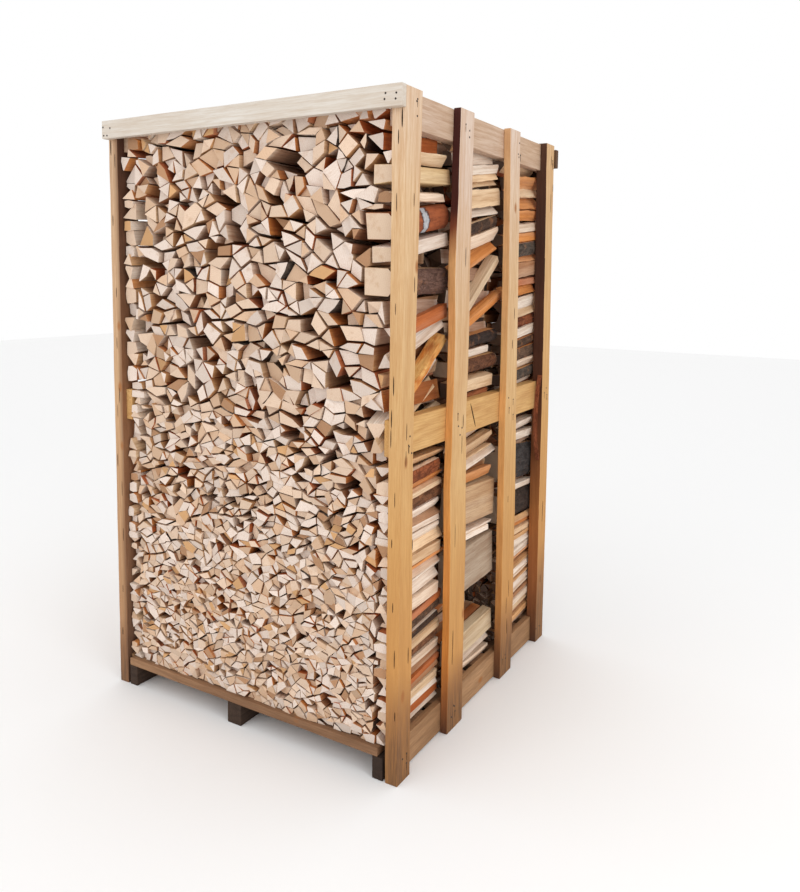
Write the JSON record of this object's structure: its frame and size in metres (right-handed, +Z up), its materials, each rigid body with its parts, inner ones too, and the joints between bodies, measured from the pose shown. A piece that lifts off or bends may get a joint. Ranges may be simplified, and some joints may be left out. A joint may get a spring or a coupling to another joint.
{
  "type": "palletised firewood crate",
  "caption": "Tall slatted timber crate on a pallet base, packed with rows of split firewood laid front to back.",
  "frame": {"origin": "on the ground, under the centre of the crate's outer box", "axes": "+Z up, +Y from the open front with its pale top beam to the back, +X to the right wall as seen from the front"},
  "size_m": [1.166, 1.175, 1.948],
  "materials": {
    "post": "rough-sawn softwood, pale at the top, honey yellow below, soiled at the foot",
    "rail": "rough-sawn softwood",
    "beam": "fresh pale sawn softwood",
    "base": "weathered brown boards",
    "skid": "dark, damp and dirty",
    "firewood": "sawn end grain, split faces and some bark",
    "split": "freshly split face with long fibres",
    "bark": "bark on the outside, split wood inside"
  },
  "bodies": {
    "root": {"skid_left": "skid", "skid_middle": "skid", "skid_right": "skid", "deck_board_1": "base", "deck_board_2": "base", "deck_board_3": "base", "deck_board_4": "base", "deck_board_5": "base", "deck_board_6": "base", "deck_board_7": "base", "deck_board_8": "base", "rail_base_left": "base", "rail_base_right": "base", "rail_middle_left": "rail", "rail_middle_right": "rail", "rail_top_left": "rail", "rail_top_right": "rail", "post_front_left": "post", "post_second_left": "post", "post_third_left": "post", "post_back_left": "post", "post_front_right": "post", "post_second_right": "post", "post_third_right": "post", "post_back_right": "post", "beam_front": "beam", "beam_back": "base", "slab_back_left": "bark", "slab_back_right": "bark", "split_pale_top": "split", "split_peeling_bark": "bark", "split_broad_cream": "split", "round_dark_bark": "bark", "split_orange_alder": "split", "split_crossing": "split", "split_black_bark": "bark", "split_brown_bark": "bark", "split_wide_tan": "split", "split_wide_grey": "bark", "board_offcut": "split", "round_charcoal_bark": "bark", "round_rough_bark": "bark", "firewood_front_lower": "firewood", "firewood_front_upper": "firewood", "firewood_middle_lower": "firewood", "firewood_middle_upper": "firewood", "firewood_back_lower": "firewood", "firewood_back_upper": "firewood"}
  },
  "joints": []
}
